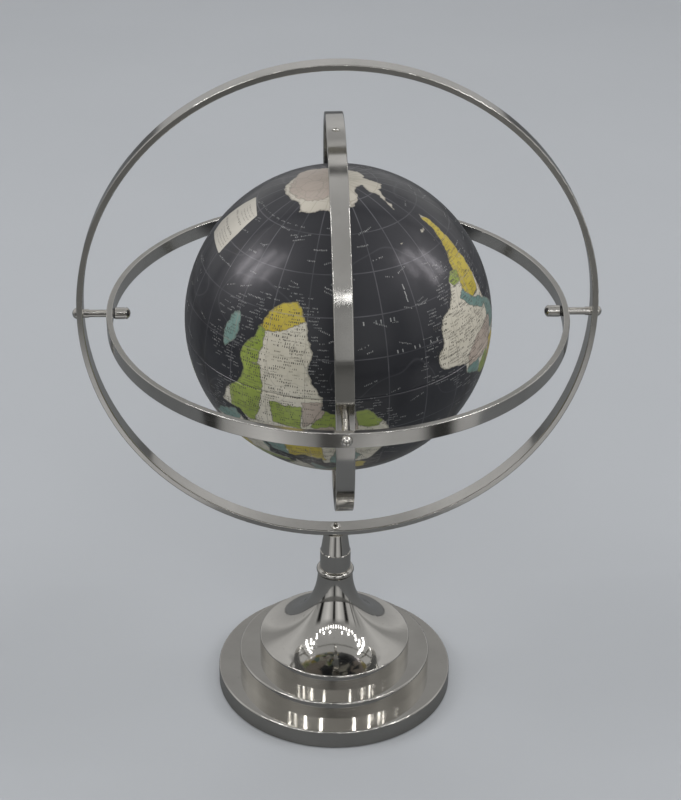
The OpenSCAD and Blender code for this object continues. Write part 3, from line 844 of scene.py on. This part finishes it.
def table_cloth():
    """Darker ground that only the metal mirrors: a cloth, and past the table's edge the room below it."""
    piece = ground("table_cloth", 0.3 * MM)
    material = Material("table_cloth", Roughness=0.9)
    place = material.node("SeparateXYZ", Vector=material.node("TexCoord").outputs["Object"])
    front = material.math("MULTIPLY", place.outputs["Y"], -1.0)
    turn = material.math("ARCTAN2", place.outputs["X"], front)
    around = material.math("MULTIPLY_ADD", turn, 0.5 / math.pi, 0.5)
    room = material.ramp(around, [(spot, 0.55 * light) for spot, light in ROOM_STOPS])
    beyond = material.ramp(front, [(0.45, 0.0), (0.60, 0.92)])
    room = material.mix(beyond, room, (0.095, 0.095, 0.092))
    cloth = material.mix(material.noise(3.0, 6.0), (0.128, 0.133, 0.139), (0.148, 0.154, 0.161))
    edge = material.ramp(material.math("SUBTRACT", front, TABLE_FRONT), [(0.0, 0.0), (0.01, 1.0)])
    material.set("Base Color", material.mix(edge, cloth, room))
    paint(piece, material)
    piece.visible_camera = piece.visible_diffuse = piece.visible_shadow = False


def backdrop():
    """Plain round wall that only the camera sees, for views from a low angle."""
    sides = 96
    verts, faces = [], []
    for i in range(sides):
        turn = 2 * math.pi * i / sides
        x, y = BACKDROP_R * math.cos(turn), BACKDROP_R * math.sin(turn)
        verts += [(x, y, -0.1), (x, y, BACKDROP_H)]
        after = (i + 1) % sides
        faces.append((2 * i, 2 * i + 1, 2 * after + 1, 2 * after))
    piece = new_piece("backdrop", verts, faces)
    material = Material("backdrop", Roughness=0.95)
    grain = material.noise(1.5, 4.0)
    material.set("Base Color", material.mix(grain, (0.44, 0.45, 0.465), (0.47, 0.48, 0.495)))
    paint(piece, material)
    piece.visible_glossy = piece.visible_diffuse = piece.visible_shadow = False


def area_light(name, place, size, power, colour=(1, 1, 1), aim=GIMBAL, mirrored=True):
    """Rectangular light at a place, turned towards a point; metal shows it only if it is mirrored."""
    data = bpy.data.lights.new(name, "AREA")
    data.shape = "RECTANGLE"
    data.size, data.size_y = size
    data.energy = power
    data.color = colour
    lamp = bpy.data.objects.new(name, data)
    lamp.location = place
    lamp.rotation_euler = (Vector(aim) - Vector(place)).to_track_quat("-Z", "Y").to_euler()
    lamp.visible_glossy = mirrored
    bpy.context.scene.collection.objects.link(lamp)
    return lamp


def far_lamp(name, azimuth, elevation, power, tall=0.24):
    """Small bright lamp seen from the stand at an azimuth from the front and an elevation, in degrees."""
    turn, rise = math.radians(azimuth), math.radians(elevation)
    towards = Vector((math.sin(turn) * math.cos(rise), -math.cos(turn) * math.cos(rise), math.sin(rise)))
    return area_light(name, LAMP_AIM + LAMP_REACH * towards, (LAMP_WIDTH, tall), power, aim=LAMP_AIM)


def globe_receivers(name, state):
    """Collection that makes a lamp light only the globe, or everything but the globe."""
    receivers = bpy.data.collections.new(name)
    for piece in ("southern_shell", "northern_shell", "land_marks", "sea_marks"):
        receivers.objects.link(bpy.data.objects[piece])
    for member in receivers.collection_objects:
        member.light_linking.link_state = state
    return receivers


def globe_strips():
    """Upright strips at both sides, which light only the globe and leave soft sheens on it."""
    receivers = globe_receivers("globe_only", "INCLUDE")
    for i, (azimuth, height, tall, power) in enumerate(GLOBE_STRIPS):
        turn = math.radians(azimuth)
        place = (STRIP_REACH * math.sin(turn), -STRIP_REACH * math.cos(turn), height)
        strip = area_light(f"strip_{i}", place, (0.16, tall), power, (1.0, 0.95, 1.0))
        strip.light_linking.receiver_collection = receivers


def soft_boxes():
    """Large soft lights, which the metal doesn't mirror."""
    area_light("left_box", (-1.9, 0.05, 1.9), (0.9, 0.9), 10.0, mirrored=False)
    area_light("right_box", (1.9, 0.05, 1.9), (0.9, 0.9), 9.0, mirrored=False)
    area_light("back_box", (0.0, 1.5, 2.3), (2.2, 1.0), 18.0, (0.97, 0.98, 1.0), (0.0, 1.1, 0.0), False)
    area_light("front_box", (0.0, -1.7, 1.9), (1.4, 0.8), 14.0, mirrored=False)


def ceiling_lamps():
    """Small lamps for all but the globe: a row that the ledges mirror, an arch and strips on the bell."""
    lamps = [(azimuth, 44.7, 1.3, 0.17) for azimuth in (-60, -38, -18, 24, 44, 64, 85)]
    lamps += [(azimuth + 3, 36.5 + 4.0 * (azimuth / 54) ** 2, 0.8) for azimuth in range(-54, 55, 9)]
    for azimuth in (-81, -72, -63, 63, 72, 81):
        lamps.append((azimuth + 3, 49.0 + 0.7 * (abs(azimuth) - 63), 0.8))
    lamps += [(-87, 57.0, 5.5, 1.2), (87, 57.0, 5.5, 1.2), (-76, 52.0, 2.0, 0.5), (76, 52.0, 2.0, 0.5)]
    receivers = globe_receivers("all_but_globe", "EXCLUDE")
    for i, lamp in enumerate(lamps):
        far_lamp(f"ceiling_lamp_{i}", *lamp).light_linking.receiver_collection = receivers


def world():
    """Soft grey surroundings with a dark bar across, and the room's upright panels low in front."""
    data = bpy.data.worlds.new("studio")
    bpy.context.scene.world = data
    data.use_nodes = True
    studio = Nodes(data.node_tree)
    split = studio.node("SeparateXYZ", Vector=studio.node("TexCoord").outputs["Generated"])
    x, y, z = (split.outputs[k] for k in "XYZ")
    over = studio.math("DIVIDE", studio.math("ARCTAN2", z, y), math.pi)
    middle = studio.ramp(studio.math("ABSOLUTE", x), [(0.30, 1.0), (0.45, 0.0)])
    beam = studio.math("MULTIPLY", studio.ramp(over, BEAM_STOPS), middle)
    sky = studio.math("MULTIPLY", studio.ramp(over, SKY_STOPS), studio.math("SUBTRACT", 1.0, beam))
    turn = studio.math("ARCTAN2", x, studio.math("MULTIPLY", y, -1.0))
    panels = studio.ramp(studio.math("MULTIPLY_ADD", turn, 0.5 / math.pi, 0.5), ROOM_STOPS)
    front = studio.ramp(studio.math("MULTIPLY_ADD", y, -0.5, 0.5), [(0.42, 0.0), (0.70, 1.0)])
    low = studio.ramp(z, [(0.42, 1.0), (0.54, 0.0)])
    background = studio.tree.nodes["Background"]
    studio.feed(background.inputs["Color"], studio.mix(studio.math("MULTIPLY", front, low), sky, panels))
    background.inputs["Strength"].default_value = SKY_STRENGTH


def camera():
    """Camera at the photograph's viewing angle."""
    data = bpy.data.cameras.new("camera")
    data.sensor_fit = "VERTICAL"
    data.sensor_height = SENSOR_HEIGHT
    data.lens = LENS
    data.clip_end = 50.0
    lens = bpy.data.objects.new("camera", data)
    lens.location = CAMERA_PLACE
    forward = Vector(CAMERA_FORWARD).normalized()
    right = forward.cross(Vector(CAMERA_UP)).normalized()
    lens.rotation_euler = Matrix((right, right.cross(forward), -forward)).transposed().to_euler()
    bpy.context.scene.collection.objects.link(lens)
    bpy.context.scene.camera = lens


floor()
table_cloth()
backdrop()
world()
globe_strips()
soft_boxes()
ceiling_lamps()
bpy.context.scene.view_settings.view_transform = "Standard"
camera()

bpy.context.view_layer.update()
